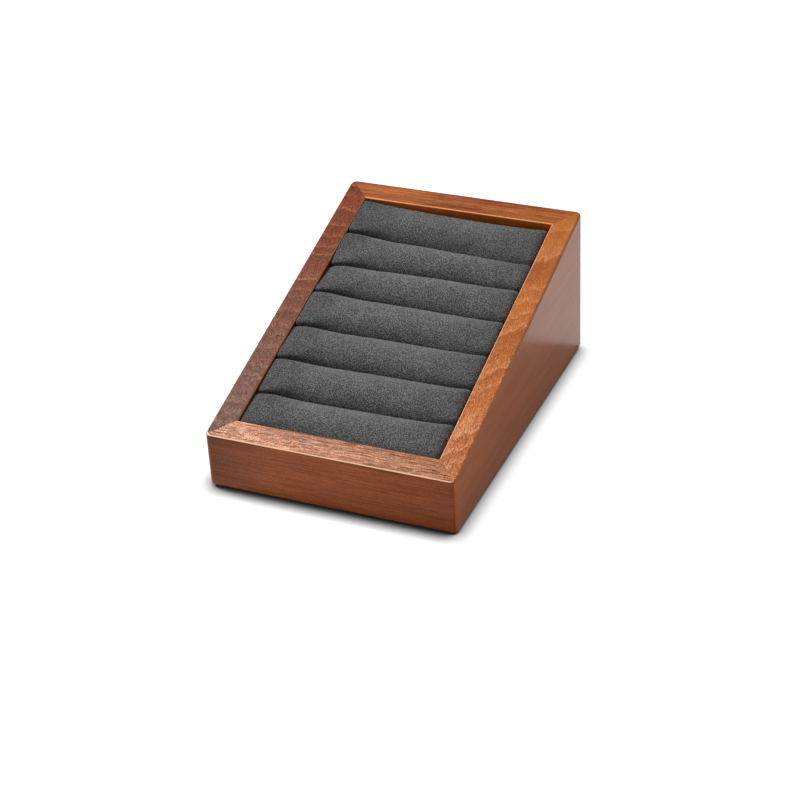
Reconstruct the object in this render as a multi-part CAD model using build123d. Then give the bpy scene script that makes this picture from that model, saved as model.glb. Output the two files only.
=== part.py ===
from build123d import *
import math
import os

# A wedge-shaped display stand with seven padded rolls in its slope, in millimetres.
# The origin is the middle of the underside, where the base felt meets the table.
# +X is to the right, +Y to the back and +Z up, so the display slopes down to the front at -Y.
# The four boards, their splines, the base and the ledges are glued into one case.
# The rolls are glued to a board of their own, and that insert lifts out of the case.

# Outside of the case
case_width = 105.0
case_depth = 150.0
case_height = 65.0
front_height = 24.1

# Boards of the case
board_thickness = 10.0
corner_radius = 2.5
top_arris_radius = 1.0
bottom_arris_radius = 1.2
inner_arris_radius = 0.5

# Base panel in its rebate, and the felt under it
base_thickness = 3.0
rebate_width = 5.0
felt_thickness = 0.8
felt_inset = 1.5
glue_gap = 0.1

# Blind splines in the mitred corners
spline_thickness = 2.5
spline_width = 7.0
spline_inset = 5.0
spline_bottom_cover = 2.0
spline_top_cover = 5.0

# Ledges that carry the insert
ledge_width = 5.0
rest_gap = 0.05

# Insert: the depths are measured square to the slope, down from the top of the case
insert_clearance = 0.3
insert_board_thickness = 2.5
crown_depth = 0.8
crown_rise = 3.6
roll_height = 13.7
roll_gap = 0.3
roll_end_gap = 0.6
shoulder_radius = 2.0
foot_radius = 1.0
fabric_thickness = 0.8

# How much wider than the average each roll is, from the back to the front
roll_trims = [1.0, -1.4, -0.8, 0.8, -0.7, 0.8, 0.3]

# Sizes that follow from the ones above
slope = math.atan2(case_height - front_height, case_depth)
opening_width = case_width - 2 * board_thickness
opening_depth = case_depth - 2 * board_thickness
board_bottom = felt_thickness
base_top = board_bottom + base_thickness
roll_foot_depth = crown_depth + roll_height
insert_bottom_depth = roll_foot_depth + insert_board_thickness
ledge_depth = insert_bottom_depth + rest_gap
shoulder_depth = crown_depth + crown_rise

# Section through the case, with its x up the slope and its y square to the slope
slope_plane = Plane(
    origin=(0, -case_depth / 2, front_height),
    x_dir=(0, math.cos(slope), math.sin(slope)),
    z_dir=(1, 0, 0),
)


def slope_height(y, depth=0.0):
    """Height, at y, of the plane that lies a depth below the slope."""
    return front_height + (y + case_depth / 2) * math.tan(slope) - depth / math.cos(slope)


def up_slope(y, depth):
    """Distance up the slope to the upright plane at y, at a depth below the slope."""
    return (y + case_depth / 2) / math.cos(slope) - depth * math.tan(slope)


def upright_box(width, depth, bottom, top):
    """A box on the middle of the case, between two heights."""
    return Pos(0, 0, (bottom + top) / 2) * Box(width, depth, top - bottom)


def across(section, low_x, high_x):
    """Extrude a closed section in Y and Z from one x to another."""
    face = Plane.YZ.offset(low_x) * make_face(Polyline(*section, close=True))
    return extrude(face, amount=high_x - low_x)


def slope_face(block):
    """The sloping top face, whose middle is the highest of all the flat faces."""
    return block.faces().filter_by(GeomType.PLANE).sort_by(Axis.Z)[-1]


def rounded_wedge():
    """The outside of the case as one block, with its corners and arrises rounded."""
    half_depth = case_depth / 2
    section = [
        (-half_depth, board_bottom),
        (half_depth, board_bottom),
        (half_depth, case_height),
        (-half_depth, front_height),
    ]
    block = across(section, -case_width / 2, case_width / 2)
    block = fillet(block.edges().filter_by(Axis.Z), corner_radius)
    block = fillet(slope_face(block).edges(), top_arris_radius)
    return fillet(block.faces().sort_by(Axis.Z)[0].edges(), bottom_arris_radius)


def hollow_wedge():
    """The four boards in one ring: the block, less the opening and the rebate for the base."""
    ring = rounded_wedge() - upright_box(opening_width, opening_depth, 0, case_height)
    ring = fillet(slope_face(ring).inner_wires()[0].edges(), inner_arris_radius)
    rebate_opening = (opening_width + 2 * rebate_width, opening_depth + 2 * rebate_width)
    return ring - upright_box(*rebate_opening, 0, base_top)


def spline(side_x, side_y, gap):
    """The spline of one corner, or the slot for it where the gap isn't zero."""
    along_mitre = spline_inset / math.sqrt(2)
    x = side_x * (opening_width / 2 + along_mitre)
    y = side_y * (opening_depth / 2 + along_mitre)
    reach = (spline_width + spline_thickness) / 2 / math.sqrt(2)
    bottom = base_top + spline_bottom_cover
    top = slope_height(y - reach) - spline_top_cover + gap
    blank = Box(spline_thickness + 2 * gap, spline_width + 2 * gap, top - bottom)
    angle = math.degrees(math.atan2(side_y, side_x))
    return Pos(x, y, (bottom + top) / 2) * Rot(0, 0, angle) * blank


def case_boards():
    """Cut the ring into its four boards along the mitres, with the slots for the splines."""
    ring = hollow_wedge()
    for side_x in (-1, 1):
        for side_y in (-1, 1):
            ring -= spline(side_x, side_y, glue_gap)
    outer = {}
    inner = {}
    for side_x in (-1, 1):
        for side_y in (-1, 1):
            outer[side_x, side_y] = (side_x * case_width / 2, side_y * case_depth / 2)
            inner[side_x, side_y] = (side_x * opening_width / 2, side_y * opening_depth / 2)
    ends = {
        "front_rail": [(-1, -1), (1, -1)],
        "back_board": [(-1, 1), (1, 1)],
        "left_side": [(-1, -1), (-1, 1)],
        "right_side": [(1, -1), (1, 1)],
    }
    boards = {}
    for name, (start, end) in ends.items():
        plan = Polyline(outer[start], outer[end], inner[end], inner[start], close=True)
        boards[name] = ring & extrude(make_face(plan), amount=case_height)
    return boards


def case_splines():
    """The four blind splines, named for their corners."""
    splines = {}
    for side_y, row in ((-1, "front"), (1, "back")):
        for side_x, column in ((-1, "left"), (1, "right")):
            splines[f"mitre_spline_{row}_{column}"] = spline(side_x, side_y, 0)
    return splines


def base_panel():
    """The thin panel in the rebate, level with the bottom of the boards."""
    width = opening_width + 2 * (rebate_width - glue_gap)
    depth = opening_depth + 2 * (rebate_width - glue_gap)
    return upright_box(width, depth, board_bottom, base_top)


def base_felt():
    """The sheet under the boards and the base panel, with its corners rounded."""
    sheet = upright_box(case_width - 2 * felt_inset, case_depth - 2 * felt_inset, 0, felt_thickness)
    return fillet(sheet.edges().filter_by(Axis.Z), corner_radius)


def ledge_section(low_y, high_y):
    """Section of a ledge between two places, with its top and bottom parallel to the slope.

    The ledges are as high as the room over the base panel at the front of the opening.
    """
    ledge_height = slope_height(-opening_depth / 2, ledge_depth) - base_top - glue_gap
    low_top = slope_height(low_y, ledge_depth)
    high_top = slope_height(high_y, ledge_depth)
    return [
        (low_y, low_top - ledge_height),
        (high_y, high_top - ledge_height),
        (high_y, high_top),
        (low_y, low_top),
    ]


def ledges():
    """The strips round the inside: two run up the slope, and two lie between those."""
    half_width = opening_width / 2
    half_depth = opening_depth / 2
    inner = half_width - ledge_width
    side = ledge_section(-half_depth, half_depth)
    front = ledge_section(-half_depth, -half_depth + ledge_width)
    back = ledge_section(half_depth - ledge_width, half_depth)
    return {
        "ledge_left": across(side, -half_width, -inner),
        "ledge_right": across(side, inner, half_width),
        "ledge_front": across(front, -inner, inner),
        "ledge_back": across(back, -inner, inner),
    }


def insert_board():
    """The board under the rolls, with upright front and back edges that clear the case."""
    wall = opening_depth / 2 - insert_clearance
    section = [
        (up_slope(-wall, insert_bottom_depth), -insert_bottom_depth),
        (up_slope(wall, insert_bottom_depth), -insert_bottom_depth),
        (up_slope(wall, roll_foot_depth), -roll_foot_depth),
        (up_slope(-wall, roll_foot_depth), -roll_foot_depth),
    ]
    face = slope_plane * make_face(Polyline(*section, close=True))
    return extrude(face, amount=opening_width / 2 - insert_clearance, both=True)


def roll_sides():
    """Front and back side of each roll: how far up the slope each is, at a depth.

    The sides between two rolls are square to the slope. The outer sides of the first and
    the last roll are upright, like the walls of the case.
    """
    wall = opening_depth / 2 - insert_clearance
    average = opening_depth / math.cos(slope) / len(roll_trims)
    upper_seam = up_slope(opening_depth / 2, 0)
    sides = []
    for index, trim in enumerate(roll_trims):
        lower_seam = upper_seam - average - trim
        front_side = lambda depth, seam=lower_seam: seam + roll_gap / 2
        back_side = lambda depth, seam=upper_seam: seam - roll_gap / 2
        if index == 0:
            back_side = lambda depth: up_slope(wall, depth)
        if index == len(roll_trims) - 1:
            front_side = lambda depth: up_slope(-wall, depth)
        sides.append((front_side, back_side))
        upper_seam = lower_seam
    return sides


def roll_section(front_side, back_side):
    """Section of one roll: flat below, straight at the sides and crowned on top."""
    front_shoulder = (front_side(shoulder_depth), -shoulder_depth)
    back_shoulder = (back_side(shoulder_depth), -shoulder_depth)
    crown = ((front_shoulder[0] + back_shoulder[0]) / 2, -crown_depth)
    front_foot = (front_side(roll_foot_depth), -roll_foot_depth)
    back_foot = (back_side(roll_foot_depth), -roll_foot_depth)
    outline = Curve() + [
        Polyline(front_shoulder, front_foot, back_foot, back_shoulder),
        ThreePointArc(back_shoulder, crown, front_shoulder),
    ]
    corners = make_face(outline).vertices().sort_by(Axis.Y)
    section = fillet(corners[:2], foot_radius)
    return fillet(section.vertices().sort_by(Axis.Y)[-2:], shoulder_radius)


def rolls():
    """The foam bar and the sleeve of each roll, numbered from the back."""
    half_length = opening_width / 2 - roll_end_gap
    pieces = {}
    for number, (front_side, back_side) in enumerate(roll_sides(), start=1):
        outside = roll_section(front_side, back_side)
        inside = offset(outside, amount=-fabric_thickness)
        core = extrude(slope_plane * inside, amount=half_length, both=True)
        sleeve = extrude(slope_plane * (outside - inside), amount=half_length, both=True)
        pieces[f"roll_core_{number}"] = core
        pieces[f"roll_cover_{number}"] = sleeve
    return pieces


def display_stand():
    """Every piece of the stand, by name."""
    pieces = {"base_panel": base_panel(), "base_felt": base_felt(), "insert_board": insert_board()}
    pieces.update(case_boards())
    pieces.update(case_splines())
    pieces.update(ledges())
    pieces.update(rolls())
    return pieces


os.makedirs("parts", exist_ok=True)
for name, shape in display_stand().items():
    export_step(shape, f"parts/{name}.step")
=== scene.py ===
# %% [markdown]
# # A sloping display stand with padded rolls
#
# The real stand is a wedge-shaped case of stained hardwood. Seven padded rolls lie side by side
# on its slope, and small things are held between them. This script dresses a imported CAD model of
# it. The boards keep their CAD shape and get a wood finish. The rolls and the felt are soft, so
# they are modelled again here as meshes, in the places that the CAD gives.
#
# First the CAD model is loaded. The dressed model has to stay in it.

# %% Load the imported model
import math
from types import SimpleNamespace

import bpy
from mathutils import Euler, Matrix, Vector, noise


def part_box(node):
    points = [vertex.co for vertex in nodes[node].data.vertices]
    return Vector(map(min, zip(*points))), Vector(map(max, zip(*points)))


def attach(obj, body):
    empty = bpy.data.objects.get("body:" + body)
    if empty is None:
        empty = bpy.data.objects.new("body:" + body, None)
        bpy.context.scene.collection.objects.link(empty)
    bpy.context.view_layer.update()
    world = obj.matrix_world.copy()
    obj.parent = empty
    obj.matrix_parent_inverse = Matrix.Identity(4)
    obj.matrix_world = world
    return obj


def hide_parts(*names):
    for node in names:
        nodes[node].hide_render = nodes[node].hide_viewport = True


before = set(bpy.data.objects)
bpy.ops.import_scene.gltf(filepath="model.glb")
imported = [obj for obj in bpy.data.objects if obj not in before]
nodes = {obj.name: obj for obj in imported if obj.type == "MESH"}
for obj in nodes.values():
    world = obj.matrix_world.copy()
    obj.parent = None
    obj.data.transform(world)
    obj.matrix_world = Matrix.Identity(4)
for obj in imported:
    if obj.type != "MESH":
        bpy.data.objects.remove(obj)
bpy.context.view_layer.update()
MM = 0.001

# %% [markdown]
# The slope is the plane that the rolls lie on. Its direction comes from the board under them:
# the largest face of that board that looks up. Later pieces are modelled flat, as on a bench,
# and this matrix then lays them on the slope.

# %% Find the slope
board_faces = nodes["insert_board"].data.polygons
board_top = max((face for face in board_faces if face.normal.z > 0.5), key=lambda face: face.area)
square = board_top.normal.copy()
uphill = Vector((0, square.z, -square.y))
slope_angle = math.atan2(uphill.z, uphill.y)
bench_to_slope = Matrix.Translation(square * board_top.center.dot(square))
bench_to_slope @= Matrix.Rotation(slope_angle, 4, "X")


def reach(node, direction):
    """Lowest and highest place of a CAD node along a direction."""
    places = [vertex.co.dot(direction) for vertex in nodes[node].data.vertices]
    return min(places), max(places)


print("slope:", round(math.degrees(slope_angle), 2), "degrees")

# %% [markdown]
# The camera stands at the photograph's angle. A long lens far away keeps the edges of the case
# almost parallel, as a product photographer would. It is also turned a little about its own
# axis, which tips the horizon slightly.

# %% Camera
CAMERA_PLACE = Vector((0.28455, -0.63355, 0.43702))
CAMERA_AZIMUTH = math.radians(24.33)
CAMERA_ELEVATION = math.radians(31.82)
CAMERA_ROLL = math.radians(-3.15)
SENSOR_WIDTH = 36.0
FOCAL_PIXELS = 1974.0
PICTURE_PIXELS = 800

aim = Euler((math.pi / 2 - CAMERA_ELEVATION, 0, CAMERA_AZIMUTH)).to_matrix()
aim @= Matrix.Rotation(CAMERA_ROLL, 3, "Z")
bpy.ops.object.camera_add(location=CAMERA_PLACE, rotation=aim.to_euler())
camera = bpy.context.object
camera.name = "camera"
camera.data.sensor_width = SENSOR_WIDTH
camera.data.lens = FOCAL_PIXELS * SENSOR_WIDTH / PICTURE_PIXELS
bpy.context.scene.camera = camera
bpy.context.scene.view_settings.view_transform = "Standard"
print("lens:", round(camera.data.lens, 1), "mm")

# %% [markdown]
# Most of a material is made by adding nodes and joining their sockets. The first helper does
# both: an input that is given a socket is linked to it, and any other value is set on the input.
# The others build on it, so that a material reads as a list of what lies over what.

# %% Helpers for shader nodes
def add_node(tree, kind, inputs=None, **settings):
    """Add a shader node, set it up and fill its inputs."""
    node = tree.nodes.new("ShaderNode" + kind)
    for name, value in settings.items():
        setattr(node, name, value)
    for socket, value in (inputs or {}).items():
        if isinstance(value, bpy.types.NodeSocket):
            tree.links.new(value, node.inputs[socket])
        else:
            node.inputs[socket].default_value = value
    return node


def math_node(tree, operation, *values, clamp=False):
    """A Math node's result."""
    node = add_node(tree, "Math", dict(enumerate(values)), operation=operation, use_clamp=clamp)
    return node.outputs[0]


def product(tree, first, *others):
    """Several values multiplied together."""
    for other in others:
        first = math_node(tree, "MULTIPLY", first, other)
    return first


def remap(tree, value, low, high, to_low=0.0, to_high=1.0, smooth=True):
    """Map a value from one range to another, with soft ends, and clamp it there."""
    inputs = {"Value": value, "From Min": low, "From Max": high, "To Min": to_low, "To Max": to_high}
    kind = "SMOOTHSTEP" if smooth else "LINEAR"
    return add_node(tree, "MapRange", inputs, interpolation_type=kind).outputs["Result"]


def around(tree, value, low, high, spread):
    """Turn a value between low and high into a strength around one. The spread may be a socket."""
    darkest = math_node(tree, "SUBTRACT", 1.0, spread)
    lightest = math_node(tree, "ADD", 1.0, spread)
    return remap(tree, value, low, high, darkest, lightest, smooth=False)


def vector_math(tree, operation, *values):
    """A Vector Math node's vector result."""
    return add_node(tree, "VectorMath", dict(enumerate(values)), operation=operation).outputs[0]


# %% [markdown]
# Colours need helpers of their own. Stain and wear change what is under them in proportion, so a
# dye and a tint multiply.

# %% Helpers for colours and materials
def mix_colors(tree, factor, first, second, blend="MIX"):
    """Mix two colours, each a socket or a list of red, green and blue."""
    first, second = (list(c) + [1] if isinstance(c, (list, tuple)) else c for c in (first, second))
    node = add_node(tree, "Mix", {0: factor, 6: first, 7: second}, data_type="RGBA", blend_type=blend)
    return node.outputs[2]


def dye(tree, color, other):
    """A colour multiplied by another."""
    return mix_colors(tree, 1.0, color, other, blend="MULTIPLY")


def tint(tree, color, strength):
    """A colour made darker or lighter by a value."""
    grey = add_node(tree, "CombineColor", {0: strength, 1: strength, 2: strength}).outputs[0]
    return dye(tree, color, grey)


def new_material(name):
    """A material with a Principled shader: gives the material, its node tree and the shader."""
    material = bpy.data.materials.new(name)
    material.use_nodes = True
    return material, material.node_tree, material.node_tree.nodes["Principled BSDF"]


def press_in(tree, shader, height, strength, depth):
    """Give a surface a relief of this depth."""
    bump = add_node(tree, "Bump", {"Height": height, "Strength": strength, "Distance": depth})
    tree.links.new(bump.outputs[0], shader.inputs["Normal"])


def set_material(piece, material):
    """Give a piece one material in place of what it had."""
    piece.data.materials.clear()
    piece.data.materials.append(material)


# %% [markdown]
# The floor is white paper. To the camera it glows white, except close to the object, where
# ambient occlusion darkens it into the narrow soft shadow of the photograph. That shadow is
# darker in front of the case than beside it, so the occlusion looks up and a little to the back
# and the right. For all other rays the floor is an ordinary pale one: it throws light back onto
# the upright faces, and the glossy side of the case shows the edge of the lamp's shadow on it.

# %% Floor and world
FLOOR_SIZE = 6.0
SHADOW_REACH = 8 * MM
SHADOW_LEAN = (0.12, 0.35, 1.0)
# Share of open sky at which the paper looks black, and at which it looks white
SHADOW_SKY = (0.4, 0.97)
PAPER_TONE = [0.8, 0.8, 0.8]
PAPER_TONE_IN_GLOSS = [0.62, 0.62, 0.62]
PAPER_TONE_UNDER_GLOW = [0.15, 0.15, 0.15]
WORLD_LIGHT = 0.32


def seen_by_camera(tree):
    """One for rays from the camera, straight or through something clear, and else nothing."""
    path = add_node(tree, "LightPath").outputs
    return math_node(tree, "MAXIMUM", path["Is Camera Ray"], path["Is Transmission Ray"])


bpy.ops.mesh.primitive_plane_add(size=FLOOR_SIZE)
floor = bpy.context.object
floor.name = "floor"

paper, tree, shader = new_material("white_paper")
tree.nodes.remove(shader)
seen = seen_by_camera(tree)
lean = add_node(tree, "VectorMath", {0: SHADOW_LEAN}, operation="NORMALIZE").outputs[0]
occlusion = add_node(tree, "AmbientOcclusion", {"Distance": SHADOW_REACH, "Normal": lean}, samples=16)
contact = remap(tree, occlusion.outputs["AO"], *SHADOW_SKY, smooth=False)
emission = add_node(tree, "Emission", {"Strength": product(tree, contact, seen)})
in_gloss = add_node(tree, "LightPath").outputs["Is Glossy Ray"]
tone = mix_colors(tree, in_gloss, PAPER_TONE, PAPER_TONE_IN_GLOSS)
tone = mix_colors(tree, seen, tone, PAPER_TONE_UNDER_GLOW)
diffuse = add_node(tree, "BsdfDiffuse", {"Color": tone})
both = add_node(tree, "AddShader", {0: emission.outputs[0], 1: diffuse.outputs[0]})
tree.links.new(both.outputs[0], tree.nodes["Material Output"].inputs["Surface"])
floor.data.materials.append(paper)

world = bpy.data.worlds.new("studio")
bpy.context.scene.world = world
world.use_nodes = True
tree = world.node_tree
strength = remap(tree, seen_by_camera(tree), 0, 1, WORLD_LIGHT, 1.0, smooth=False)
background = tree.nodes["Background"]
background.inputs["Color"].default_value = (1, 1, 1, 1)
tree.links.new(strength, background.inputs["Strength"])
print("floor:", FLOOR_SIZE, "m wide, world light:", WORLD_LIGHT)

# %% [markdown]
# One soft lamp stands on the left and a little behind the case, about 42 degrees up. Its
# direction comes from the photograph: the shadow's edge, reflected in the right side, and the
# shading across each roll. A second, weak one hangs above and behind and gives the boards their
# satin sheen. A third, wide and weak, fills in from the back right.

# %% Lamps
KEY_DIRECTION = Vector((-0.728, 0.141, 0.669))
KEY_DISTANCE = 1.5
KEY_SIZE = 0.39
KEY_POWER = 31.5
SHEEN_PLACE = Vector((-0.4, 0.285, 0.87))
SHEEN_SIZE = 0.2
SHEEN_POWER = 0.36
FILL_PLACE = Vector((0.6, 0.45, 0.66))
FILL_SIZE = 0.5
FILL_POWER = 0.9
LAMP_TARGET = Vector((0, 0, 0.03))


def add_lamp(name, place, size, power):
    """A square soft lamp that looks at the middle of the case."""
    turn = (LAMP_TARGET - place).to_track_quat("-Z", "Y").to_euler()
    bpy.ops.object.light_add(type="AREA", location=place, rotation=turn)
    lamp = bpy.context.object
    lamp.name = name
    lamp.data.size = size
    lamp.data.energy = power
    print(name + ":", power, "W,", round((place - LAMP_TARGET).length, 2), "m away")


add_lamp("key_lamp", KEY_DIRECTION * KEY_DISTANCE, KEY_SIZE, KEY_POWER)
add_lamp("sheen_lamp", SHEEN_PLACE, SHEEN_SIZE, SHEEN_POWER)
add_lamp("fill_lamp", FILL_PLACE, FILL_SIZE, FILL_POWER)

# %% [markdown]
# The boards are an open-pored hardwood under a red-brown stain and a satin lacquer. Wood is a
# solid, not a picture on a surface: the growth rings are tubes round the pith of the tree, and a
# board shows where it cuts them. So the pattern is worked out from the place in the wood. Along
# the grain it gives long dashes, and where the slope cuts the side boards at a shallow angle the
# same rings and pores become bands and flecks across the rail, as on the real ones.
# All the wood here shares one node group. It works in millimetres, with the grain along X, and
# noise that is stretched along X makes its tones, fibres, pores and flecks.

# %% Helpers for the wood grain
# Length along the grain and width across it of the cells of each noise, in mm
BEND_CELL = (30, 9)
WOBBLE_CELL = (5, 2.5)
TONE_CELL = (40, 5)
FIBRE_CELL = (30, 0.45)
PORE_CELL = (14, 0.42)
FLECK_CELL = (8, 0.36)
SPECK_CELL = (0.5, 0.4)
MARKS = ("Ring", "Tone", "Fibre", "Pore", "Fleck", "Speck", "Line")


def new_group(name, inputs, outputs):
    """A shader node group. Each input has a name, a kind and a value, and outputs are numbers."""
    group = bpy.data.node_groups.new(name, "ShaderNodeTree")
    for label, kind, value in inputs:
        socket = group.interface.new_socket(label, in_out="INPUT", socket_type="NodeSocket" + kind)
        if value is not None:
            socket.default_value = value
    for label in outputs:
        group.interface.new_socket(label, in_out="OUTPUT", socket_type="NodeSocketFloat")
    return group, group.nodes.new("NodeGroupInput").outputs, group.nodes.new("NodeGroupOutput").inputs


def on_all_axes(tree, value):
    """A vector that has the same value on every axis."""
    return add_node(tree, "CombineXYZ", {axis: value for axis in range(3)}).outputs[0]


def grain_noise(tree, place, cell, detail=2.0, roughness=0.5):
    """Noise whose cells have this length along the grain and this width across it, in mm."""
    along, across = cell
    cells = vector_math(tree, "MULTIPLY", place, (1 / along, 1 / across, 1 / across))
    inputs = {"Vector": cells, "Scale": 1.0, "Detail": detail, "Roughness": roughness}
    return add_node(tree, "TexNoise", inputs).outputs


# %% [markdown]
# The rings count outwards from the pith. Real ones are never as even as tubes, so here they bend
# over a few centimetres, wobble over a few millimetres, and differ in width and darkness from
# year to year. Each ring darkens slowly towards its end, and in some years it starts with a thin
# light line. The pores and the flecks crowd together in its first, early wood.

# %% Wood grain group
# How far the rings wobble, in mm, and how much and how quickly their width varies, in rings
WOBBLE = 1.4
WIDTH_SPREAD = 1.6
WIDTH_PACE = 0.45
# Keeps the flecks from lying on the pores
FLECK_SHIFT = (0, 37, 0)
# How strongly the pores and the flecks crowd into the early wood, and the flecks into its start
PORE_CROWDING = 0.06
FLECK_CROWDING = 0.12
FIRST_CROWDING = 0.07

grain, given, result = new_group(
    "wood_grain",
    [("Vector", "Vector", None), ("Ring Width", "Float", 2.4), ("Waviness", "Float", 3.0),
     ("Fineness", "Float", 1.0)],
    MARKS,
)
place = given["Vector"]
bend = vector_math(grain, "SUBTRACT", grain_noise(grain, place, BEND_CELL)["Color"], (0.5, 0.5, 0.5))
bent_place = vector_math(grain, "MULTIPLY_ADD", bend, on_all_axes(grain, given["Waviness"]), place)
parts = add_node(grain, "SeparateXYZ", {0: bent_place}).outputs
from_pith = product(grain, parts["Y"], parts["Y"])
from_pith = math_node(grain, "MULTIPLY_ADD", parts["Z"], parts["Z"], from_pith)
wobble = grain_noise(grain, place, WOBBLE_CELL, detail=1.0)["Fac"]
from_pith = math_node(grain, "MULTIPLY_ADD", wobble, WOBBLE, math_node(grain, "SQRT", from_pith))
turns = math_node(grain, "DIVIDE", from_pith, given["Ring Width"])
growth_inputs = {"W": turns, "Scale": WIDTH_PACE, "Detail": 0.0}
growth = add_node(grain, "TexNoise", growth_inputs, noise_dimensions="1D").outputs["Fac"]
turns = math_node(grain, "MULTIPLY_ADD", growth, WIDTH_SPREAD, turns)
in_ring = math_node(grain, "FRACT", turns)
year_number = math_node(grain, "FLOOR", turns)
year = add_node(grain, "TexWhiteNoise", {"W": year_number}, noise_dimensions="1D").outputs["Value"]

late_wood = product(
    grain, remap(grain, in_ring, 0.2, 0.9), remap(grain, in_ring, 0.9, 1.0, 1.0, 0.0),
    remap(grain, year, 0, 1, 0.3, 1.0))
line = product(grain, remap(grain, in_ring, 0.1, 0.02), remap(grain, year, 0.75, 0.35))
early_wood = remap(grain, in_ring, 0.45, 0.1)
first_wood = remap(grain, in_ring, 0.08, 0.0)
fine_place = vector_math(grain, "MULTIPLY", place, on_all_axes(grain, given["Fineness"]))
pore = grain_noise(grain, fine_place, PORE_CELL, detail=1.0)["Fac"]
pore = math_node(grain, "MULTIPLY_ADD", early_wood, PORE_CROWDING, pore)
fleck_place = vector_math(grain, "ADD", fine_place, FLECK_SHIFT)
fleck = grain_noise(grain, fleck_place, FLECK_CELL, detail=1.0)["Fac"]
fleck = math_node(grain, "MULTIPLY_ADD", early_wood, FLECK_CROWDING, fleck)
fleck = math_node(grain, "MULTIPLY_ADD", first_wood, FIRST_CROWDING, fleck)

grain.links.new(late_wood, result["Ring"])
grain.links.new(grain_noise(grain, place, TONE_CELL, detail=3.0)["Fac"], result["Tone"])
grain.links.new(grain_noise(grain, fine_place, FIBRE_CELL, roughness=0.7)["Fac"], result["Fibre"])
grain.links.new(remap(grain, pore, 0.58, 0.66), result["Pore"])
grain.links.new(remap(grain, fleck, 0.58, 0.7), result["Fleck"])
grain.links.new(grain_noise(grain, fine_place, SPECK_CELL, detail=0.0)["Fac"], result["Speck"])
grain.links.new(line, result["Line"])
print("wood grain:", len(grain.nodes), "nodes, which give", ", ".join(MARKS))

# %% [markdown]
# A board has its own place in the tree, which decides where its rings lie. These helpers put the
# grain group there: the turn lays the board's grain along X, and the pith moves the rings.

# %% Place a board in the tree
# Turns the grain of a side board, which runs from front to back, along X
ALONG_CASE = -math.pi / 2
GRAIN_DEPTH = 0.08 * MM
# Nearly all values of a noise lie in this range, and those of the fibres in a narrower one
NOISE_RANGE = (0.3, 0.7)
FIBRE_RANGE = (0.32, 0.68)


def place_in_tree(tree, turn, pith):
    """The place in the tree, in mm, with the grain along X."""
    place = add_node(tree, "TexCoord").outputs["Object"]
    inputs = {"Vector": place, "Location": pith, "Rotation": (0, 0, turn), "Scale": (1 / MM,) * 3}
    return add_node(tree, "Mapping", inputs).outputs[0]


def grain_marks(tree, place, ring_width, waviness=3.0, fineness=1.0):
    """Use the grain group in a material: gives its marks by name."""
    inputs = {"Vector": place, "Ring Width": ring_width, "Waviness": waviness, "Fineness": fineness}
    return add_node(tree, "Group", inputs, node_tree=grain).outputs


def dot(tree, first, second):
    """The dot product of two vectors."""
    node = add_node(tree, "VectorMath", {0: first, 1: second}, operation="DOT_PRODUCT")
    return node.outputs["Value"]


def facing(tree, direction):
    """How far a face turns to a direction, from -1 to 1."""
    return dot(tree, add_node(tree, "TexCoord").outputs["Normal"], direction)


# %% [markdown]
# The stain took differently on each board and on each of its faces. On the slope the pores were cut
# open, so there the wood is pale and lively, with flecks, specks and light ring lines, and the light
# flecks are partly a painted glint of the lacquer. The upright faces are smooth and deep in colour. From
# one end of a board to the other the colour turns redder or more golden, which is partly the stain and
# partly a painted sheen. Streaks along the grain turn the stain redder or more golden on a small scale.

# %% Stain and grain marks
# How strongly a streak changes red, green and blue
STREAK_PARTS = (1.0, 1.6, 1.8)
PORE_DARKNESS = 0.35
# How much more of the rings than of the other marks shows on the upright faces
UPRIGHT_RINGS = 0.1


def stain(tree, wood, share, open_grain, board):
    """The stained rings, with the colour of the upright faces and the streaks."""
    shown = remap(tree, open_grain, 0, 1, board.upright_grain + UPRIGHT_RINGS, 1.0, smooth=False)
    color = mix_colors(tree, product(tree, wood["Ring"], shown), board.early, board.late)
    dark = [part * (1 - board.dark_end) for part in board.upright]
    upright = mix_colors(tree, remap(tree, share, 0.0, 0.33), dark, board.upright)
    color = dye(tree, color, mix_colors(tree, open_grain, upright, [1, 1, 1]))
    redder = [1 - board.streaks * part for part in STREAK_PARTS]
    golden = [1 + board.streaks * part for part in STREAK_PARTS]
    tone = remap(tree, wood["Tone"], *NOISE_RANGE, smooth=False)
    return dye(tree, color, mix_colors(tree, tone, redder, golden))


def draw_marks(tree, color, wood, share, open_grain, lively, board):
    """Fibres, pores, flecks with a painted glint, and ring lines over the stain, then the dyes of the
    ends with a painted sheen, and specks.
    """
    fibre = around(tree, wood["Fibre"], *FIBRE_RANGE, product(tree, lively, board.fibre))
    color = tint(tree, color, fibre)
    pore_color = [part * PORE_DARKNESS for part in board.late]
    color = mix_colors(tree, product(tree, wood["Pore"], lively, board.pores), color, pore_color)
    # The light flecks are partly pale filled pores and partly painted glints of the lacquer.
    fleck = product(tree, wood["Fleck"], lively, board.flecks, open_grain)
    color = mix_colors(tree, fleck, color, board.fleck_color)
    line = product(tree, wood["Line"], open_grain, board.lines)
    color = mix_colors(tree, line, color, board.fleck_color)
    # The dyes of the two ends are partly the stain and partly a painted sheen: paler and greyer where
    # the lacquer's reflection is strong, deeper where it is weak.
    color = dye(tree, color, mix_colors(tree, share, *board.end_tints))
    speck = around(tree, wood["Speck"], *NOISE_RANGE, product(tree, lively, board.specks))
    return tint(tree, color, speck)


# %% [markdown]
# On each board one arris has a painted highlight: a light colour is mixed in where a face turns to that
# side near the slope, and the face on that side gets a dye that can paint light on it. The lacquer is a
# thin clear coat that the pores break up, and on the right side it reflects the floor.

# %% Painted arris highlight and lacquer
SLOPE_GLOSS = 0.5
WOOD_ROUGHNESS = (0.34, 0.5)
# How much gloss a fleck adds to the coat, and a pore takes from it
FLECK_GLOSS = 0.3
PORE_GLOSS = -0.4

slope_level = reach("left_side", square)[1]


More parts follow.
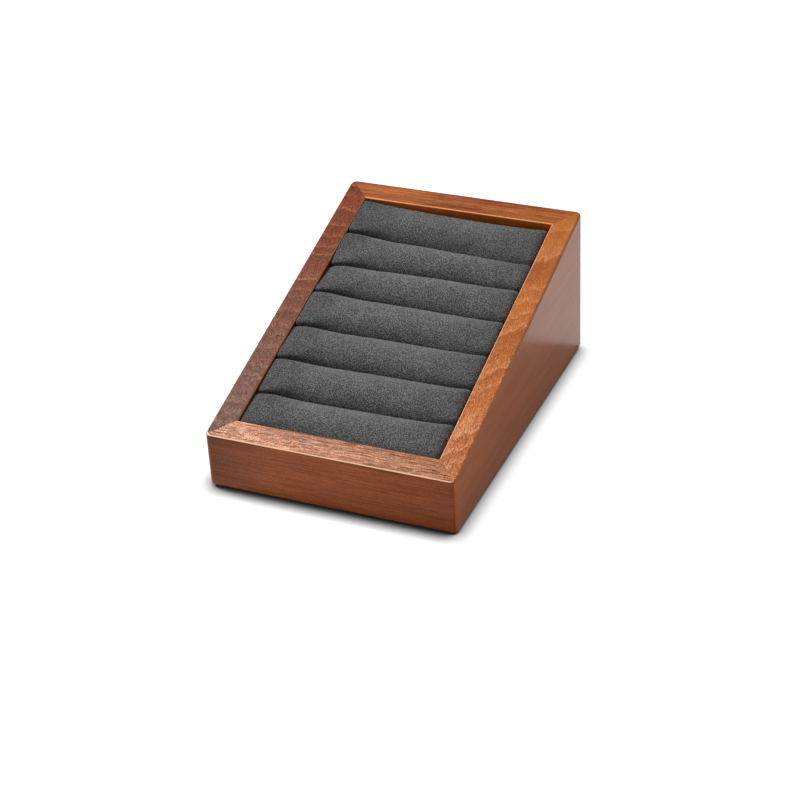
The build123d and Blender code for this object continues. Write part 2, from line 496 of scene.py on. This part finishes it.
def paint_arris_light(tree, color, wood, board):
    """Paint light on the face of the lit side, and a painted highlight on its arris at the slope."""
    turned = remap(tree, facing(tree, board.worn), 0.3, 0.55)
    color = dye(tree, color, mix_colors(tree, turned, [1, 1, 1], board.inside))
    level = dot(tree, add_node(tree, "TexCoord").outputs["Object"], square)
    depth = board.worn_depth * MM
    near_slope = remap(tree, level, slope_level - depth, slope_level - depth / 2)
    uneven = remap(tree, wood["Fibre"], 0.25, 0.5, 0.6, 0.95)
    # The light arris colour is a painted highlight, made uneven along the fibres.
    return mix_colors(tree, product(tree, turned, near_slope, uneven), color, board.worn_color)


def lacquer(tree, shader, wood, open_grain, lively, board):
    """A thin satin coat, broken up by the pores, over the relief of the grain."""
    roughness = remap(tree, wood["Fibre"], *NOISE_RANGE, *WOOD_ROUGHNESS, smooth=False)
    tree.links.new(roughness, shader.inputs["Roughness"])
    pore_gloss = product(tree, wood["Pore"], PORE_GLOSS)
    broken = math_node(tree, "MULTIPLY_ADD", wood["Fleck"], FLECK_GLOSS, pore_gloss)
    coat = remap(tree, open_grain, 0, 1, board.gloss, SLOPE_GLOSS, smooth=False)
    coat = math_node(tree, "MULTIPLY_ADD", open_grain, broken, coat, clamp=True)
    tree.links.new(coat, shader.inputs["Coat Weight"])
    height = math_node(tree, "MULTIPLY_ADD", wood["Fibre"], 0.5, product(tree, wood["Pore"], -1.0))
    press_in(tree, shader, product(tree, height, lively), strength=0.6, depth=GRAIN_DEPTH)
    shader.inputs["Specular IOR Level"].default_value = 0.1
    shader.inputs["Coat Roughness"].default_value = 0.17


# %% [markdown]
# The photograph shows four boards of the same wood that don't match, as is usual in small cases
# cut from offcuts. The left side is the darkest, the front rail is the palest and most open in
# grain, and the back and the right side are more orange. So each board has its own settings,
# over a few that most of them share.

# %% Stained wood
# What a setting is where a board doesn't have its own one. The two ends of a board are its left
# and right ones, or its front and back ones
USUAL_BOARD = dict(
    length=105,                     # size along the grain, in mm
    waviness=3.0,                   # how far the rings bend, in mm
    fineness=1.0,                   # how much finer than usual the small marks are
    lines=0.0,                      # strength of the light lines at the start of the rings
    lively_ends=(1, 1),             # strength of the small marks at the two ends
    upright_grain=0.2,              # strength of the small marks on the upright faces
    streaks=0.1,                    # strength of the streaks
    upright=(1, 1, 1),              # dye of the upright faces
    dark_end=0.0,                   # how much darker they start, over their first third
    inside=(1, 1, 1),               # dye of the face on the lit side, which paints light on it
    worn_depth=1.1,                 # how far the painted arris highlight reaches under the slope, in mm
)


def stained_wood(name, **own):
    """The material of a board, from its own settings and the usual ones."""
    board = SimpleNamespace(**{**USUAL_BOARD, **own})
    material, tree, shader = new_material(name)
    place = place_in_tree(tree, board.turn, board.pith)
    wood = grain_marks(tree, place, board.ring_width, board.waviness, board.fineness)
    along = add_node(tree, "SeparateXYZ", {0: place}).outputs["X"]
    share = remap(tree, along, -board.length / 2, board.length / 2, smooth=False)
    open_grain = remap(tree, facing(tree, square), 0.8, 0.97)
    lively = remap(tree, open_grain, 0, 1, board.upright_grain, 1.0, smooth=False)
    lively = product(tree, lively, remap(tree, share, 0, 1, *board.lively_ends, smooth=False))
    color = stain(tree, wood, share, open_grain, board)
    color = draw_marks(tree, color, wood, share, open_grain, lively, board)
    tree.links.new(paint_arris_light(tree, color, wood, board), shader.inputs["Base Color"])
    lacquer(tree, shader, wood, open_grain, lively, board)
    return material


# %% [markdown]
# Every board also says where it lies in the tree and how wide its rings are in mm, the stain's colour on
# early and late wood, and the strength of its fibres, pores, flecks and specks. It also gives the colour
# of the light ones, which holds a painted glint, the dyes of its two ends, which hold a painted sheen,
# its gloss, and on which side its arris gets a painted highlight.

# %% The four boards
# The side, colour and depth of the light arris, and the back board's dye of its inner face, paint light:
# a highlight along one arris of each board, a lit band along the top of the left board's inner wall, and
# a lighter inner face on the back board.
boards = {
    "front_rail": dict(
        turn=0, pith=(0, 60, 30), ring_width=3.1, fineness=1.4,
        early=[0.385, 0.148, 0.064], late=[0.29, 0.102, 0.042],
        fibre=0.88, pores=0.75, flecks=0.8, specks=0.6, fleck_color=(0.78, 0.38, 0.22),
        upright_grain=0.35, streaks=0.16, end_tints=((1.03, 1.03, 1.06), (0.72, 0.59, 0.42)),
        upright=(1.04, 0.73, 0.5), dark_end=0.5, gloss=0.25,
        worn=(0, -1, 0), worn_color=(1, 0.64, 0.4), worn_depth=0.3),
    "back_board": dict(
        turn=0, pith=(0, -40, 20), ring_width=4.2,
        early=[0.34, 0.086, 0.017], late=[0.19, 0.042, 0.009],
        fibre=0.55, pores=0.3, flecks=0.25, specks=0.16, fleck_color=(0.58, 0.2, 0.08),
        upright_grain=0.55, streaks=0.26, end_tints=((0.95, 0.97, 0.95), (0.95, 1.0, 0.9)),
        upright=(0.86, 0.84, 0.66), inside=(1.5, 1.2, 0.5), gloss=0.6,
        worn=(0, -1, 0), worn_color=(1, 0.42, 0.17), worn_depth=0.4),
    "left_side": dict(
        turn=ALONG_CASE, pith=(0, -47, 150), ring_width=2.1, length=150, waviness=1.7,
        early=[0.16, 0.042, 0.013], late=[0.104, 0.026, 0.008], lines=0.42,
        fibre=0.55, pores=0.5, flecks=0.5, specks=0.45, fleck_color=(0.42, 0.2, 0.12),
        lively_ends=(0.95, 0.5), upright_grain=0.45,
        end_tints=((0.76, 0.79, 0.83), (1.1, 0.77, 0.35)), gloss=0.6,
        worn=(1, 0, 0), worn_color=(0.6, 0.2, 0.075), worn_depth=1.0),
    "right_side": dict(
        turn=ALONG_CASE, pith=(0, 87, 150), ring_width=3.4, length=150, waviness=2.6,
        early=[0.43, 0.12, 0.021], late=[0.32, 0.08, 0.015], lines=0.2,
        fibre=0.4, pores=0.2, flecks=0.5, specks=0.2, fleck_color=(0.68, 0.31, 0.15),
        lively_ends=(1.3, 0.3), end_tints=((1.08, 1.12, 1.3), (0.94, 0.96, 0.88)),
        upright=(1.0, 0.9, 0.84), gloss=0.75,
        worn=(-1, 0, 0), worn_color=(0.95, 0.55, 0.3)),
}
for name, settings in boards.items():
    set_material(nodes[name], stained_wood("wood_" + name.split("_")[0], **settings))
print("stained boards:", list(boards))

# %% [markdown]
# Only the four boards are stained. The ledges, the splines and the base panel are the same wood,
# planed and left bare, so they use the same grain group with pale colours and no coat. The grain
# of a spline runs across its mitre, because that is what makes the joint strong.

# %% Bare wood
BARE_EARLY = [0.58, 0.4, 0.235]
BARE_LATE = [0.44, 0.285, 0.155]
BARE_PORE = [0.24, 0.145, 0.075]
# Angle of the grain of each spline, in degrees
SPLINE_GRAINS = {"front_left": 45, "front_right": -45, "back_left": -45, "back_right": 45}


def bare_wood(piece, turn, pith, ring_width=2.8):
    """Give a piece the wood as it comes from the plane."""
    material, tree, shader = new_material("bare_" + piece)
    wood = grain_marks(tree, place_in_tree(tree, turn, pith), ring_width)
    color = mix_colors(tree, wood["Ring"], BARE_EARLY, BARE_LATE)
    color = tint(tree, color, around(tree, wood["Fibre"], *FIBRE_RANGE, 0.2))
    color = mix_colors(tree, product(tree, wood["Pore"], 0.6), color, BARE_PORE)
    tree.links.new(color, shader.inputs["Base Color"])
    roughness = remap(tree, wood["Fibre"], *NOISE_RANGE, 0.6, 0.8, smooth=False)
    tree.links.new(roughness, shader.inputs["Roughness"])
    height = math_node(tree, "MULTIPLY_ADD", wood["Pore"], -1.0, wood["Fibre"])
    press_in(tree, shader, height, strength=0.5, depth=GRAIN_DEPTH)
    shader.inputs["Specular IOR Level"].default_value = 0.3
    set_material(nodes[piece], material)


bare_wood("base_panel", 0, (0, 12, 40), ring_width=3.6)
for piece in ("ledge_front", "ledge_back"):
    bare_wood(piece, 0, (0, 25, 35))
for piece in ("ledge_left", "ledge_right"):
    bare_wood(piece, ALONG_CASE, (0, 20, 45))
for corner, angle in SPLINE_GRAINS.items():
    bare_wood("mitre_spline_" + corner, math.radians(angle), (0, 18, 30))
print("bare pieces:", [name for name in nodes if name.startswith(("base_p", "ledge", "mitre"))])

# %% [markdown]
# The board under the rolls is greyboard, which is waste paper pressed in layers. Its faces are a
# mottled grey with short dark fibres, and its cut edges show the layers. The pattern is turned to
# lie in the slope, so that the layers follow the board, and is worked out in millimetres.

# %% Greyboard
PULP_DARK = [0.22, 0.215, 0.2]
PULP_LIGHT = [0.37, 0.36, 0.335]
STRAND_COLOR = [0.12, 0.115, 0.11]
PULP_DEPTH = 0.1 * MM
# How many cells of noise there are to a millimetre: across the case, uphill and through the board
STRAND_CELLS = (0.35, 2.2, 2.2)
LAYER_CELLS = (0.04, 0.04, 3.4)

greyboard, tree, shader = new_material("greyboard")
place = add_node(tree, "Mapping", {
    "Vector": add_node(tree, "TexCoord").outputs["Object"],
    "Rotation": (-slope_angle, 0, 0), "Scale": (1 / MM,) * 3}).outputs[0]
pulp_inputs = {"Vector": place, "Scale": 1.4, "Detail": 4.0, "Roughness": 0.65}
pulp = add_node(tree, "TexNoise", pulp_inputs).outputs["Fac"]
strand_place = vector_math(tree, "MULTIPLY", place, STRAND_CELLS)
strand_inputs = {"Vector": strand_place, "Scale": 1.0, "Detail": 1.0}
strands = add_node(tree, "TexNoise", strand_inputs).outputs["Fac"]
layer_place = vector_math(tree, "MULTIPLY", place, LAYER_CELLS)
layer_inputs = {"Vector": layer_place, "Scale": 1.0, "Detail": 2.0}
layers = add_node(tree, "TexNoise", layer_inputs).outputs["Fac"]
color = mix_colors(tree, remap(tree, pulp, 0.35, 0.65), PULP_DARK, PULP_LIGHT)
color = mix_colors(tree, remap(tree, strands, 0.62, 0.72), color, STRAND_COLOR)
color = tint(tree, color, around(tree, layers, 0.35, 0.65, 0.25))
tree.links.new(color, shader.inputs["Base Color"])
tree.links.new(remap(tree, pulp, *NOISE_RANGE, 0.8, 0.95), shader.inputs["Roughness"])
press_in(tree, shader, pulp, strength=0.5, depth=PULP_DEPTH)
shader.inputs["Specular IOR Level"].default_value = 0.2
set_material(nodes["insert_board"], greyboard)
print("greyboard:", len(tree.nodes), "nodes")

# %% [markdown]
# A sheet of felt is glued under the case, so that the case is kind to the table. It was cut a
# little smaller than the case and with round corners. It is flat, so no simulation is needed: a
# plane gets its corners bevelled, is solidified to the felt's thickness, and its cut edges are
# softened.

# %% Model the base felt
FELT_CORNER = 2.5 * MM
FELT_EDGE = 0.22 * MM

felt_low, felt_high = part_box("base_felt")
felt_size = felt_high - felt_low
bpy.ops.object.select_all(action="DESELECT")
bpy.ops.mesh.primitive_plane_add(size=1)
base_felt = bpy.context.object
base_felt.name = "base_felt_sheet"
bpy.ops.object.mode_set(mode="EDIT")
bpy.ops.transform.resize(value=(felt_size.x, felt_size.y, 1))
bpy.ops.transform.translate(value=(0, 0, felt_low.z))
bpy.ops.mesh.bevel(offset=FELT_CORNER, segments=6, affect="VERTICES")
bpy.ops.object.mode_set(mode="OBJECT")
thicken = base_felt.modifiers.new("Thickness", "SOLIDIFY")
thicken.thickness = felt_size.z
thicken.offset = 1
bpy.ops.object.modifier_apply(modifier=thicken.name)
soften = base_felt.modifiers.new("Soft edges", "BEVEL")
soften.width = FELT_EDGE
soften.segments = 2
soften.limit_method = "ANGLE"
bpy.ops.object.modifier_apply(modifier=soften.name)
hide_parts("base_felt")
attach(base_felt, "case")
print("felt:", [round(side / MM, 2) for side in felt_size], "mm,", len(base_felt.data.polygons), "faces")

# %% [markdown]
# Pressed felt is a mat of fibres that lie in all directions. Two sets of long thin noise, turned
# against each other, stand for the fibres, and a broad noise makes it cloudy. It has no gloss,
# only the sheen of its loose fibre ends.

# %% Pressed felt
# How each set of fibres is turned, and how many cells of its noise there are to a metre
STRAND_TURNS = (0.5, 2.1)
FELT_STRANDS = (0.45 / MM, 3.2 / MM, 3.2 / MM)
CLOUD_SIZE = 5 * MM
FELT_DARK = [0.012, 0.012, 0.013]
FELT_LIGHT = [0.06, 0.06, 0.062]
FELT_DEPTH = 0.15 * MM

pressed_felt, tree, shader = new_material("pressed_felt")
place = add_node(tree, "TexCoord").outputs["Object"]
sets = []
for turn in STRAND_TURNS:
    inputs = {"Vector": place, "Rotation": (0, 0, turn), "Scale": FELT_STRANDS}
    lying = add_node(tree, "Mapping", inputs).outputs[0]
    one_set = add_node(tree, "TexNoise", {"Vector": lying, "Scale": 1.0, "Detail": 2.0})
    sets.append(one_set.outputs["Fac"])
mat = math_node(tree, "MAXIMUM", *sets)
cloud_inputs = {"Vector": place, "Scale": 1 / CLOUD_SIZE, "Detail": 3.0}
cloud = add_node(tree, "TexNoise", cloud_inputs).outputs["Fac"]
color = mix_colors(tree, remap(tree, mat, 0.45, 0.72), FELT_DARK, FELT_LIGHT)
color = tint(tree, color, around(tree, cloud, *NOISE_RANGE, 0.2))
tree.links.new(color, shader.inputs["Base Color"])
tree.links.new(remap(tree, mat, 0.4, 0.7, 0.9, 1.0), shader.inputs["Roughness"])
press_in(tree, shader, mat, strength=0.7, depth=FELT_DEPTH)
shader.inputs["Specular IOR Level"].default_value = 0.1
shader.inputs["Sheen Weight"].default_value = 0.2
shader.inputs["Sheen Roughness"].default_value = 0.5
set_material(base_felt, pressed_felt)
print("pressed felt:", len(tree.nodes), "nodes")

# %% [markdown]
# Each roll is a bar of soft foam in a sleeve of microfibre, and seven of them are glued side by
# side on a thin board. The room that each one has comes from the CAD: the seams between the
# covers, the walls of the case and the board underneath. On the real stand the seams wander a
# little, because the rolls were pressed in by hand, so each seam leans its own way here.
# Lengths in these cells are on the bench: X along a roll, Y uphill and Z square to the slope.

# %% Room for the rolls
ROLL_COUNT = 7
SEAM_GAP = 0.25 * MM
END_GAP = 0.25 * MM
FRONT_GAP = 0.35 * MM
# Behind the first roll, at its left end, its middle and its right end
BACK_GAPS = (0.35 * MM, 0.5 * MM, 1.3 * MM)
# How far the full left ends of the rolls reach, and how far the seams dip to the front there
FULL_REACH = 20 * MM
LEFT_SEAM_DIP = 1.0 * MM
# How far uphill each seam lies from the CAD's, in mm: at its left end, its middle and its right end
SEAM_LEANS = [
    (-0.4, 0.1, -3.7),
    (-3.3, 0.9, -1.3),
    (-1.2, 0.9, -1.4),
    (-1.7, 1.05, -0.8),
    (-2.4, 0.4, -0.9),
    (-1.8, 0.4, -0.1),
]

bench_height = reach("insert_board", square)[1]
rail_height = slope_level - bench_height
half_length = -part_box("ledge_left")[0].x - END_GAP
front_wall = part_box("ledge_front")[0].y
back_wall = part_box("ledge_back")[1].y
covers = [f"roll_cover_{number}" for number in range(1, ROLL_COUNT + 1)]
seam_middles = [
    (reach(upper, uphill)[0] + reach(lower, uphill)[1]) / 2
    for upper, lower in zip(covers, covers[1:])]


def wall_place(wall, height):
    """How far uphill an upright wall is, at a height over the bench."""
    return (wall - (bench_height + height) * square.y) / uphill.y


def bent(ends, x):
    """A value at x that runs smoothly through its left, middle and right values."""
    left, middle, right = ends
    share = x / half_length
    return middle + (right - left) / 2 * share + ((left + right) / 2 - middle) * share ** 2


def nearness(distance, span):
    """One at no distance from an end, falling smoothly to nothing over a span."""
    return max(0.0, 1 - distance / span) ** 2


def seam_place(index, x):
    """How far uphill a seam is at x. Towards the left it dips to the front."""
    dip = LEFT_SEAM_DIP * nearness(x + half_length, FULL_REACH)
    return seam_middles[index] + bent(SEAM_LEANS[index], x) * MM - dip


def roll_sides(number, x, height):
    """Lower and upper limit of a roll, uphill, at a place along it and a height."""
    if number == ROLL_COUNT:
        low = wall_place(front_wall, height) + FRONT_GAP
    else:
        low = seam_place(number - 1, x) + SEAM_GAP / 2
    if number == 1:
        high = wall_place(back_wall, height) - bent(BACK_GAPS, x)
    else:
        high = seam_place(number - 2, x) - SEAM_GAP / 2
    return low, high


print("rolls:", round(2 * half_length / MM, 1), "mm long")
print("rails:", round(rail_height / MM, 1), "mm over the bench")

# %% [markdown]
# A roll starts as a box with soft edges, a little lower than the room it has. A voxel remesh
# turns it into even small faces, as cloth needs, and these are then fitted to the leaning seams.
# It could be swept from one section instead, but then every stretch of it would be the same,
# which fabric over foam never is.

# %% Blank of a roll
SIDE_HEIGHT = 12.6 * MM
# Radii of the long upper edges, at the front and the back, and of the edges at the left and right
SHOULDER_RADII = {-1: 3.0 * MM, 1: 2.2 * MM}
END_RADII = {-1: 0.6 * MM, 1: 1.2 * MM}
VOXEL = 1.2 * MM
# How near to an end an edge has to be to belong to it
AT_END = 0.1 * MM


def select_edges(mesh, wanted):
    """In edit mode, select just the edges whose two corners both pass a test."""
    bpy.ops.mesh.select_mode(type="EDGE")
    bpy.ops.mesh.select_all(action="DESELECT")
    bpy.ops.object.mode_set(mode="OBJECT")
    for edge in mesh.edges:
        edge.select = all(wanted(mesh.vertices[index].co) for index in edge.vertices)
    bpy.ops.object.mode_set(mode="EDIT")


def roll_blank(number):
    """A box in the room of one roll, with soft edges and even faces."""
    low, high = roll_sides(number, 0, SIDE_HEIGHT / 2)
    size = (2 * half_length, high - low, SIDE_HEIGHT)
    bpy.ops.object.select_all(action="DESELECT")
    bpy.ops.mesh.primitive_cube_add(size=1)
    roll = bpy.context.object
    roll.name = f"roll_{number}"
    bpy.ops.object.mode_set(mode="EDIT")
    bpy.ops.transform.translate(value=(0, 0, 0.5))
    bpy.ops.transform.resize(value=size, center_override=(0, 0, 0))
    for side, radius in SHOULDER_RADII.items():
        select_edges(roll.data, lambda co: co.z > SIDE_HEIGHT / 2 and co.y * side > 0)
        bpy.ops.mesh.bevel(offset=radius, segments=5, affect="EDGES")
    for side, radius in END_RADII.items():
        select_edges(roll.data, lambda co: co.x * side > half_length - AT_END)
        bpy.ops.mesh.bevel(offset=radius, segments=3, affect="EDGES")
    bpy.ops.object.mode_set(mode="OBJECT")
    remesh = roll.modifiers.new("Even faces", "REMESH")
    remesh.mode = "VOXEL"
    remesh.voxel_size = VOXEL
    bpy.ops.object.modifier_apply(modifier=remesh.name)
    for vertex in roll.data.vertices:
        low_here, high_here = roll_sides(number, vertex.co.x, vertex.co.z)
        share = vertex.co.y / (high - low) + 0.5
        vertex.co.y = low_here + share * (high_here - low_here)
    return roll


# %% [markdown]
# Cloth simulation then pumps the sleeve up, as the foam does: pressure from inside, no gravity,
# and the underside and the folded ends held, where the fabric is glued. Cloth behaves best at the
# size of a cushion, so the roll is ten times as large meanwhile. How far a point may move is
# capped.

# %% Pump up a sleeve
CLOTH_SCALE = 10
PRESSURE = 4.0
FRAMES = 20
LARGEST_MOVE = 2.4 * MM
# A point that moved less than this didn't move, and its length is never divided by
NO_MOVE = 1e-9


def pump_up(piece, glued):
    """Inflate a closed mesh by cloth simulation. The vertices that pass the test stay in place."""
    start = [vertex.co.copy() for vertex in piece.data.vertices]
    fixed = piece.vertex_groups.new(name="glued")
    fixed.add([vertex.index for vertex in piece.data.vertices if glued(vertex.co)], 1.0, "REPLACE")
    piece.data.transform(Matrix.Scale(CLOTH_SCALE, 4))
    cloth = piece.modifiers.new("Cloth", "CLOTH")
    cloth.settings.vertex_group_mass = fixed.name
    cloth.settings.use_pressure = True
    cloth.settings.uniform_pressure_force = PRESSURE
    cloth.settings.effector_weights.gravity = 0
    cloth.point_cache.frame_start = 1
    cloth.point_cache.frame_end = FRAMES
    for number in range(1, FRAMES + 1):
        bpy.context.scene.frame_set(number)
    bpy.context.view_layer.objects.active = piece
    bpy.ops.object.modifier_apply(modifier=cloth.name)
    bpy.context.scene.frame_set(1)
    piece.data.transform(Matrix.Scale(1 / CLOTH_SCALE, 4))
    piece.vertex_groups.clear()
    for vertex, before in zip(piece.data.vertices, start):
        move = vertex.co - before
        vertex.co = before + move * min(1.0, LARGEST_MOVE / max(move.length, NO_MOVE))


# %% [markdown]
# The crown of a swollen roll is brought to the height that the photograph shows, just under the
# rails. The left ends are full and square, and each has its own fold, a little higher or lower at
# its back than at its front. At the right ends the top falls away to the wall.

# %% Height of the crowns
# Depths under the rails, in mm. Each left end has one at its back and one at its front
CROWN_DEPTH = 0.4
LEFT_END_DEPTHS = [
    (0.3, 0.0), (0.3, 1.0), (2.2, 0.3), (0.7, 0.2), (1.3, 0.3), (0.9, 1.0), (1.4, 1.0)]
RIGHT_END_DEPTH = 1.9
LEFT_REACH = 9 * MM
RIGHT_REACH = 5 * MM
# How suddenly the top falls away at the right ends
RIGHT_FALL = 1.5
CROWN_STEPS = 42


def clamp(value, low, high):
    """The value, or the limit that it is past."""
    return max(low, min(high, value))


def crown_place(number, x, share):
    """Height of a roll's crown at x, where share runs from its front side to its back side."""
    back, front = LEFT_END_DEPTHS[number - 1]
    left = front + (back - front) * share
    near_left = nearness(x + half_length, LEFT_REACH)
    near_right = nearness(half_length - x, RIGHT_REACH) ** RIGHT_FALL
    depth = CROWN_DEPTH + (left - CROWN_DEPTH) * near_left
    depth += (RIGHT_END_DEPTH - CROWN_DEPTH) * near_right
    return rail_height - depth * MM


def crown_line(roll):
    """Height of the swollen crown at even steps along a roll."""
    heights = [0.0] * (CROWN_STEPS + 1)
    for vertex in roll.data.vertices:
        step = clamp(round((vertex.co.x / half_length + 1) / 2 * CROWN_STEPS), 0, CROWN_STEPS)
        heights[step] = max(heights[step], vertex.co.z)
    return heights


def height_at(line, x):
    """Read a crown line at any x, between its steps."""
    place = (x / half_length + 1) / 2 * CROWN_STEPS
    step = min(int(place), CROWN_STEPS - 1)
    return line[step] + (line[step + 1] - line[step]) * (place - step)


# %% [markdown]
# The swollen roll is pressed back into its room. Where it meets its neighbours or the board it
# goes flat, and only its top keeps the arch, with a few shallow dents. The arch is fuller towards
# the left end, and the first roll stands up higher at its back, where the wall squeezes it.

# %% Model the seven rolls
# The arch begins at this height over the bench
ARCH_FOOT = 9 * MM
LEFT_FULLNESS = 2.5
# At the left end, the middle and the right end
BACK_ROLL_LIFTS = (0.75, 0.6, 0.4)
DENT_WIDTH = 14 * MM
DENT_DEPTH = 0.3 * MM
# How many dent widths the noise moves on from roll to roll, so that each has its own dents
DENT_SHIFT = 3


def press_into_room(roll, number):
    """Flatten a swollen roll against its neighbours, the board and the walls, and level its top."""
    line = crown_line(roll)
    for vertex in roll.data.vertices:
        x = clamp(vertex.co.x, -half_length, half_length)
        height = max(0.0, vertex.co.z)
        low, high = roll_sides(number, x, height)
        across = clamp((vertex.co.y - low) / (high - low), 0.0, 1.0)
        if height > ARCH_FOOT:
            arch = min(1.0, (height - ARCH_FOOT) / (height_at(line, x) - ARCH_FOOT))
            arch = 1 - (1 - arch) ** (1 + LEFT_FULLNESS * nearness(x + half_length, FULL_REACH))
            if number == 1:
                arch += (1 - arch) * bent(BACK_ROLL_LIFTS, x) * max(0.0, 2 * across - 1)
            place = Vector((x, vertex.co.y, number * DENT_WIDTH * DENT_SHIFT))
            dent = noise.noise(place / DENT_WIDTH)
            top = crown_place(number, x, across) + dent * DENT_DEPTH
            height = ARCH_FOOT + arch * (top - ARCH_FOOT)
            low, high = roll_sides(number, x, height)
        vertex.co = (x, clamp(vertex.co.y, low, high), height)


def model_roll(number):
    """One padded roll, from its blank to its place on the slope."""
    roll = roll_blank(number)
    pump_up(roll, glued=lambda co: co.z < VOXEL or abs(co.x) > half_length - VOXEL)
    press_into_room(roll, number)
    smooth = roll.modifiers.new("Smooth", "SUBSURF")
    smooth.levels = smooth.render_levels = 1
    bpy.ops.object.modifier_apply(modifier=smooth.name)
    bpy.ops.object.shade_smooth()
    roll.data.transform(bench_to_slope)
    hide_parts(f"roll_cover_{number}", f"roll_core_{number}")
    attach(roll, "insert")
    return roll


rolls = [model_roll(number) for number in range(1, ROLL_COUNT + 1)]
print("rolls:", [len(roll.data.polygons) for roll in rolls], "faces")

# %% [markdown]
# Microfibre has a short dense nap. Its fibres lie in many directions, so at close range it is a fine
# speckle of light tufts with dark between them, and a brushed hand leaves broad patches a little lighter
# or darker. Towards the ends of the rolls and on the back one, a painted shade makes it darker. A touch
# of sheen stands for the loose fibre ends that catch light at the edges.

# %% Microfibre
TUFT_SIZE = 0.42 * MM
TUFT_DARK = [0.051, 0.05, 0.052]
TUFT_LIGHT = [0.314, 0.307, 0.311]
TUFT_DEPTH = 0.1 * MM
BRUSHED_SIZE = 9 * MM
# Painted shade: the axis, two places on it in mm, and the brightness at each of them
PAINTED_SHADE = [
    ("X", -42, -18, 0.66, 1.0),
    ("X", 15, 42, 1.0, 0.72),
    ("Y", 30, 55, 1.0, 0.85),
]

microfibre, tree, shader = new_material("microfibre")
place = add_node(tree, "TexCoord").outputs["Object"]
nap_inputs = {"Vector": place, "Scale": 1 / TUFT_SIZE, "Randomness": 1.0}
nap = add_node(tree, "TexVoronoi", nap_inputs).outputs["Distance"]
tuft = remap(tree, nap, 0.55, 0.1)
brushed_inputs = {"Vector": place, "Scale": 1 / BRUSHED_SIZE, "Detail": 1.0}
brushed = add_node(tree, "TexNoise", brushed_inputs).outputs["Fac"]
brightness = remap(tree, brushed, *NOISE_RANGE, 0.93, 1.06)
axes = add_node(tree, "SeparateXYZ", {0: place}).outputs
# Painted shade: the rolls get darker towards their ends and on the back roll.
for axis, low, high, at_low, at_high in PAINTED_SHADE:
    painted_shade = remap(tree, axes[axis], low * MM, high * MM, at_low, at_high)
    brightness = product(tree, brightness, painted_shade)
color = tint(tree, mix_colors(tree, tuft, TUFT_DARK, TUFT_LIGHT), brightness)
tree.links.new(color, shader.inputs["Base Color"])
press_in(tree, shader, tuft, strength=0.5, depth=TUFT_DEPTH)
shader.inputs["Roughness"].default_value = 0.95
shader.inputs["Specular IOR Level"].default_value = 0.1
shader.inputs["Sheen Weight"].default_value = 0.15
shader.inputs["Sheen Roughness"].default_value = 0.5
for roll in rolls:
    set_material(roll, microfibre)
print("microfibre:", len(tree.nodes), "nodes on", len(rolls), "rolls")
